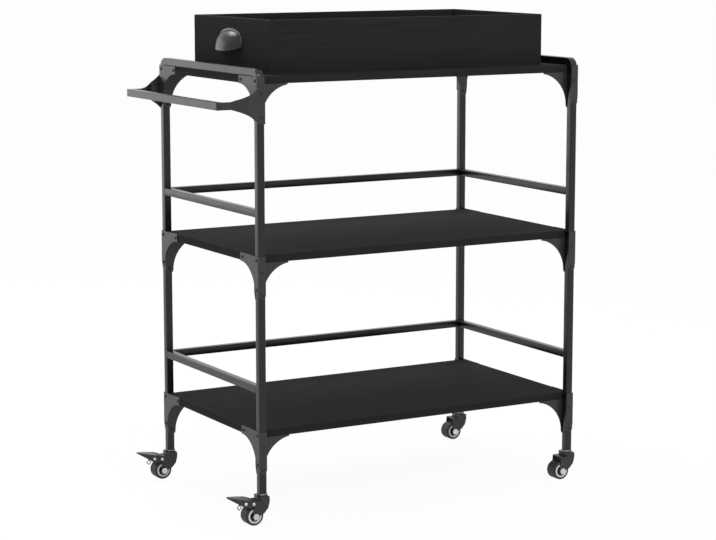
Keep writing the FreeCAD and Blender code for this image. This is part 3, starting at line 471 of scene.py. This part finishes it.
def fastener_tree():
    """Copies a head to every point, along the point's own direction."""
    kinds = {"Head": "NodeSocketObject", "Seed": "NodeSocketInt", "Coat": "NodeSocketMaterial"}
    tree, start, end = geometry_tree("fasteners", kinds)
    head = tree.nodes.new("GeometryNodeObjectInfo")
    outwards = tree.nodes.new("GeometryNodeInputNamedAttribute")
    outwards.data_type = "FLOAT_VECTOR"
    outwards.inputs["Name"].default_value = "out"
    aim = tree.nodes.new("FunctionNodeAlignRotationToVector")
    aim.axis = "Z"
    chance = tree.nodes.new("FunctionNodeRandomValue")
    chance.data_type = "FLOAT"
    drive = tree.nodes.new("ShaderNodeCombineXYZ")
    copies = tree.nodes.new("GeometryNodeInstanceOnPoints")
    turn = tree.nodes.new("GeometryNodeRotateInstances")
    link = tree.links.new
    link(start.outputs["Head"], head.inputs["Object"])
    link(outwards.outputs["Attribute"], aim.inputs["Vector"])
    link(start.outputs["Geometry"], copies.inputs["Points"])
    link(head.outputs["Geometry"], copies.inputs["Instance"])
    link(aim.outputs["Rotation"], copies.inputs["Rotation"])
    link(start.outputs["Seed"], chance.inputs["Seed"])
    numbers = [socket for socket in chance.inputs if socket.type == "VALUE"]
    full_turn = next(socket for socket in numbers if socket.name == "Max")
    full_turn.default_value = 2 * math.pi
    angle = next(socket for socket in chance.outputs if socket.type == "VALUE")
    link(angle, drive.inputs["Z"])
    link(copies.outputs["Instances"], turn.inputs["Instances"])
    link(drive.outputs["Vector"], turn.inputs["Rotation"])
    end_tree(tree, start, end, turn.outputs["Instances"])
    return tree


def lathed(name, profile, around):
    """A closed solid turned about Z from (radius, height) pairs, from bottom to top."""
    work = bmesh.new()
    rings = []
    for radius, height in profile:
        ring = []
        for step in range(around):
            angle = 2 * math.pi * step / around
            spot = (radius * math.cos(angle), radius * math.sin(angle), height)
            ring.append(work.verts.new(spot))
        rings.append(ring)
    for lower, upper in zip(rings, rings[1:]):
        for step in range(around):
            after = (step + 1) % around
            work.faces.new((lower[step], lower[after], upper[after], upper[step]))
    work.faces.new(list(reversed(rings[0])))
    work.faces.new(rings[-1])
    mesh = bpy.data.meshes.new(name)
    work.to_mesh(mesh)
    work.free()
    item = bpy.data.objects.new(name, mesh)
    collection.objects.link(item)
    return item


def dome(radius, base, height, steps):
    """Rising part of a rounded head, as (radius, height) pairs."""
    pairs = []
    for step in range(1, steps):
        angle = QUARTER * step / steps
        pairs.append((radius * math.cos(angle), base + (height - base) * math.sin(angle)))
    return pairs


HEAD_RADIUS = 3.6 * MM
HEAD_HEIGHT = 2.0 * MM
HEAD_RIM = 0.6 * MM
HEAD_SIDES = 20
HEAD_STEPS = 5
SHANK_RADIUS = 1.6 * MM
SHANK_LENGTH = 5 * MM
RECESS_REACH = 2.1 * MM
RECESS_WIDTH = 0.8 * MM
RECESS_FLOOR = 0.7 * MM
RIVET_RADIUS = 3.35 * MM
RIVET_HEIGHT = 1.5 * MM
RIVET_SINK = 1.25 * MM
RIVET_SIDES = 28
RIVET_STEPS = 6


def pan_head():
    """Domed screw head with a short shank and a cross recess cut into it."""
    profile = [
        (SHANK_RADIUS, -SHANK_LENGTH), (SHANK_RADIUS, 0), (HEAD_RADIUS, 0),
        (HEAD_RADIUS, HEAD_RIM), *dome(HEAD_RADIUS, HEAD_RIM, HEAD_HEIGHT, HEAD_STEPS),
    ]
    head = lathed("screw_head", profile, HEAD_SIDES)
    blades = []
    for reach, width in ((RECESS_REACH, RECESS_WIDTH / 2), (RECESS_WIDTH / 2, RECESS_REACH)):
        work = bmesh.new()
        bmesh.ops.create_cube(work, size=2)
        for vertex in work.verts:
            above = vertex.co.z > 0
            vertex.co.x *= reach * (1 if above or reach < width else 0.5)
            vertex.co.y *= width * (1 if above or width < reach else 0.5)
            vertex.co.z = HEAD_HEIGHT + HEAD_RIM if above else RECESS_FLOOR
        mesh = bpy.data.meshes.new("recess_blade")
        work.to_mesh(mesh)
        work.free()
        blade = bpy.data.objects.new("recess_blade", mesh)
        collection.objects.link(blade)
        cutter = head.modifiers.new("recess", "BOOLEAN")
        cutter.operation = "DIFFERENCE"
        cutter.object = blade
        blades.append(blade)
    mesh = plain_mesh(head)
    for blade in blades:
        bpy.data.objects.remove(blade)
    item = bpy.data.objects.new("screw_head", mesh)
    collection.objects.link(item)
    return item


def islands(mesh):
    """Groups of joined vertices, as lists of their places."""
    work = bmesh.new()
    work.from_mesh(mesh)
    seen = set()
    groups = []
    for first in work.verts:
        if first in seen:
            continue
        seen.add(first)
        waiting = [first]
        places = []
        while waiting:
            vertex = waiting.pop()
            places.append(vertex.co.copy())
            for edge in vertex.link_edges:
                other = edge.other_vert(vertex)
                if other not in seen:
                    seen.add(other)
                    waiting.append(other)
        groups.append(places)
    work.free()
    return groups


def radius_about(place, middle, axis):
    """Distance from the line through the middle along one axis."""
    offset = place - middle
    offset[axis] = 0
    return offset.length


WIDE_PART = 0.8 * HEAD_RADIUS


def screw_places(name):
    """Seat and outward direction of each screw in a node, read from its long axis and wide end."""
    found = []
    for places in islands(welded(name)):
        low = Vector([min(place[at] for place in places) for at in range(3)])
        high = Vector([max(place[at] for place in places) for at in range(3)])
        middle = (low + high) / 2
        size = high - low
        axis = max(range(3), key=lambda at: size[at])
        wide = [place for place in places if radius_about(place, middle, axis) > WIDE_PART]
        side = 1 if sum(place[axis] - middle[axis] for place in wide) > 0 else -1
        outwards = Vector((0, 0, 0))
        outwards[axis] = side
        seat = middle.copy()
        seat[axis] = (high[axis] if side > 0 else low[axis]) - side * HEAD_HEIGHT
        found.append((seat, outwards))
    return found


fasteners = fastener_tree()
screw_head = pan_head()
rivet_profile = [
    (RIVET_RADIUS, -RIVET_SINK), (RIVET_RADIUS, 0),
    *dome(RIVET_RADIUS, 0, RIVET_HEIGHT, RIVET_STEPS),
]
rivet_head = lathed("rivet_head", rivet_profile, RIVET_SIDES)


def fixed(name, places, head, coat, replaced, rides_with, seed):
    """One head on each place, as a single piece."""
    points = bpy.data.meshes.new(name + "_places")
    points.from_pydata([seat for seat, _ in places], [], [])
    points.attributes.new("out", "FLOAT_VECTOR", "POINT")
    for item, (_, outwards) in zip(points.attributes["out"].data, places):
        item.vector = outwards
    mesh = grown(name, points, fasteners, {"Head": head, "Seed": seed, "Coat": coat})
    finished(name, mesh, replaced, rides_with)


for seed, name in enumerate(("bracket_screws", "handle_screws", "pull_screws")):
    fixed(name + "_heads", screw_places(name), screw_head, screw_coat, [name], name, seed)

PEDAL_RIVET_REACH = 17 * MM
PEDAL_RIVET_RISE = 2.5 * MM
RIVETED = {"caster_fork": (0, 0, 0), "brake_pedal": (-PEDAL_RIVET_REACH, 0, PEDAL_RIVET_RISE)}
pivots = {}
for joint in frame["record"]["behaviour"]["joints"]:
    if not joint["name"].startswith("brake"):
        continue
    corner = joint["name"].removeprefix("brake")
    pivot = Vector(joint["pos_m"])
    pivots["brake_pedal" + corner] = pivot
    for kind, offset in RIVETED.items():
        node = kind + corner
        low, high = box(node)
        near, far = pivot + Vector(offset), pivot + Vector(offset)
        near.y, far.y = low.y, high.y
        seats = [(near, -ACROSS), (far, ACROSS)]
        fixed(node + "_rivets", seats, rivet_head, zinc_steel, [], node, 0)
bpy.data.objects.remove(screw_head)
bpy.data.objects.remove(rivet_head)


# Boards, tray, brackets, horns and pulls

SHEET_EDGE = 0.35 * MM
BOARD_EDGE = 0.7 * MM
LIP_RISE = 9 * MM
LIP_CURVE = 4
CUP_FULLNESS = 2.9
CUP_TOP = 0.995
WIDEST_SHOULDER = 1.35
BOARDS = ("top_board", "middle_shelf", "lower_shelf", "tray_front", "tray_back", "tray_bottom")


def swept_pull(name):
    """The cup pull's mesh with fuller shoulders and both ends of its lip swept up."""
    mesh = welded(name)
    work = bmesh.new()
    work.from_mesh(mesh)
    bmesh.ops.triangulate(work, faces=work.faces)
    low, high = box(name)
    middle = (low + high) / 2
    half = (high - low) / 2
    for vertex in work.verts:
        up = min(max((vertex.co.z - low.z) / (2 * half.z), 0), CUP_TOP)
        full = (1 - up ** CUP_FULLNESS) ** (1 / CUP_FULLNESS) / (1 - up ** 2) ** 0.5
        vertex.co.y = middle.y + (vertex.co.y - middle.y) * min(full, WIDEST_SHOULDER)
        outwards = min(abs(vertex.co.y - middle.y) / half.y, 1)
        vertex.co.z += LIP_RISE * outwards ** LIP_CURVE * (1 - up) ** 2
    work.to_mesh(mesh)
    work.free()
    return mesh


for name in sorted(nodes):
    if name in ("tray_left", "tray_right"):
        refined(name, [wood_across], BOARD_EDGE)
    elif name in BOARDS:
        refined(name, [wood_along], BOARD_EDGE)
    elif name.startswith(("bracket_", "handle_bracket")) and name != "bracket_screws":
        refined(name, [sheet_coat], SHEET_EDGE)
    elif name.startswith("cup_pull"):
        refined(name, [pull_coat], SHEET_EDGE, mesh=swept_pull(name))
refined("tray_dowels", [dowel_wood], SHEET_EDGE)
refined("tube_plugs", [dark_plastic_and_hub_shade], SHEET_EDGE)


# Casters

RING_INNER = 10.3 * MM


def ring_or_shaded_hub(middle):
    """Pale outer ring, black inside it: dark plastic with the shade of the hub's recess painted
    in.
    """
    def pick(corners):
        return 0 if all(radius_about(spot, middle, 1) > RING_INNER for spot in corners) else 1
    return pick


# Brake pedals: the catch under the tread is a loop of dark wire

LINK_WIRE = 1.7 * MM
LINK_BEND = 0.3 * MM
LINK_CORNERS = ((-27.2, -8.8), (-22.9, -2.8), (-17.8, -8.2), (-22.2, -13.2))
CATCH_HALF_WIDTH = 4.1 * MM
CATCH_START = 20 * MM


def bare_pedal(name, pivot):
    """The pedal's mesh without the block under its tread, closed where that stood."""
    mesh = welded(name)
    work = bmesh.new()
    work.from_mesh(mesh)
    block = []
    for face in work.faces:
        offsets = [vertex.co - pivot for vertex in face.verts]
        if all(abs(spot.y) < CATCH_HALF_WIDTH and spot.x < -CATCH_START for spot in offsets):
            block.append(face)
    bmesh.ops.delete(work, geom=block, context="FACES")
    rim = [edge for edge in work.edges if edge.is_boundary]
    bmesh.ops.holes_fill(work, edges=rim, sides=0)
    loose = [vertex for vertex in work.verts if not vertex.link_faces]
    bmesh.ops.delete(work, geom=loose, context="VERTS")
    bmesh.ops.recalc_face_normals(work, faces=work.faces)
    work.to_mesh(mesh)
    work.free()
    return mesh


def wire_link(name, pivot):
    """A closed loop of wire below the pedal's tread."""
    corners = [pivot + Vector((along * MM, 0, rise * MM)) for along, rise in LINK_CORNERS]
    line = bpy.data.meshes.new(name + "_line")
    count = len(corners)
    line.from_pydata(corners, [(at, (at + 1) % count) for at in range(count)], [])
    round_wire = {"Width": LINK_WIRE, "Corner": LINK_WIRE / 2}
    values = {**round_wire, "Bend": LINK_BEND, "Coat": link_steel}
    finished(name + "_link", grown(name + "_link", line, square_tube, values), [], name)


for name in sorted(nodes):
    low, high = box(name)
    middle = (low + high) / 2
    if name.startswith("caster_stem"):
        refined(name, [stem_steel], SHEET_EDGE)
    elif name.startswith("axle"):
        refined(name, [zinc_steel], SHEET_EDGE)
    elif name.startswith("caster_fork"):
        refined(name, [caster_coat], SHEET_EDGE)
    elif name.startswith("brake_pedal"):
        pivot = pivots[name]
        refined(name, [caster_coat], SHEET_EDGE, mesh=bare_pedal(name, pivot))
        wire_link(name, pivot)
    elif name.startswith("wheel_hub"):
        # Inside the pale ring the hub is painted black: its dark plastic plus painted shade of the
        # recess.
        refined(name, [rim_plastic, dark_plastic_and_hub_shade], SHEET_EDGE, ring_or_shaded_hub(middle))
    elif name.startswith("tyre"):
        refined(name, [tyre_rubber], SHEET_EDGE)


# Light: a panel behind the left end, soft boxes high in front and overhead, and a pale world

CART_MIDDLE = Vector((0, 0, 0.5))


def soft_box(name, place, width, height, power):
    """An evenly glowing rectangle that faces the cart."""
    data = bpy.data.lights.new(name, "AREA")
    data.shape = "RECTANGLE"
    data.size = width
    data.size_y = height
    data.energy = power
    lamp = bpy.data.objects.new(name, data)
    lamp.location = place
    lamp.rotation_euler = (CART_MIDDLE - Vector(place)).to_track_quat("-Z", "Y").to_euler()
    collection.objects.link(lamp)


soft_box("left_rear_panel", (-2.0, 3.0, 1.0), 2.2, 1.8, 13)
soft_box("high_front_box", (0.4, -3.0, 3.4), 1.6, 1.6, 70)
soft_box("overhead_box", (-0.45, 1.5, 3.2), 2.0, 1.6, 65)


def seen_directly(tree):
    """1 for rays from the camera and for those that metal and glass send on, else 0."""
    path = tree.nodes.new("ShaderNodeLightPath")
    socket = path.outputs["Is Camera Ray"]
    for kind in ("Is Glossy Ray", "Is Transmission Ray"):
        either = tree.nodes.new("ShaderNodeMath")
        either.operation = "MAXIMUM"
        tree.links.new(socket, either.inputs[0])
        tree.links.new(path.outputs[kind], either.inputs[1])
        socket = either.outputs["Value"]
    return socket


# Pale world and floor: white where they are seen, plainer as light on the cart

STRAY_STRENGTH = 0.85
SEEN_STRENGTH = 1.0
FLOOR_REACH = 40
FLOOR_GREY = 0.8
FLOOR_ROUGHNESS = 0.8
FLOOR_SHINE = 0.2
FLOOR_GLOW_SHARE = 0.95

world = bpy.data.worlds.new("pale_room")
bpy.context.scene.world = world
world.use_nodes = True
tree = world.node_tree
background = tree.nodes["Background"]
background.inputs["Color"].default_value = (1, 1, 1, 1)
strength = tree.nodes.new("ShaderNodeMapRange")
strength.inputs["To Min"].default_value = STRAY_STRENGTH
strength.inputs["To Max"].default_value = SEEN_STRENGTH
tree.links.new(seen_directly(tree), strength.inputs["Value"])
tree.links.new(strength.outputs["Result"], background.inputs["Strength"])

floor_mesh = bpy.data.meshes.new("floor")
corners = [(-1, -1), (1, -1), (1, 1), (-1, 1)]
places = [(FLOOR_REACH * u, FLOOR_REACH * v, 0) for u, v in corners]
floor_mesh.from_pydata(places, [], [(0, 1, 2, 3)])
floor = bpy.data.objects.new("floor", floor_mesh)
collection.objects.link(floor)
floor_paint = bpy.data.materials.new("pale_floor")
floor_paint.use_nodes = True
tree = floor_paint.node_tree
shader = tree.nodes["Principled BSDF"]
shader.inputs["Base Color"].default_value = (FLOOR_GREY, FLOOR_GREY, FLOOR_GREY, 1)
shader.inputs["Roughness"].default_value = FLOOR_ROUGHNESS
shader.inputs["Specular IOR Level"].default_value = FLOOR_SHINE
glow = tree.nodes.new("ShaderNodeEmission")
blend = tree.nodes.new("ShaderNodeMixShader")
share = tree.nodes.new("ShaderNodeMath")
share.operation = "MULTIPLY"
share.inputs[1].default_value = FLOOR_GLOW_SHARE
tree.links.new(seen_directly(tree), share.inputs[0])
tree.links.new(share.outputs["Value"], blend.inputs["Fac"])
tree.links.new(shader.outputs["BSDF"], blend.inputs[1])
tree.links.new(glow.outputs["Emission"], blend.inputs[2])
tree.links.new(blend.outputs["Shader"], tree.nodes["Material Output"].inputs["Surface"])
floor_mesh.materials.append(floor_paint)
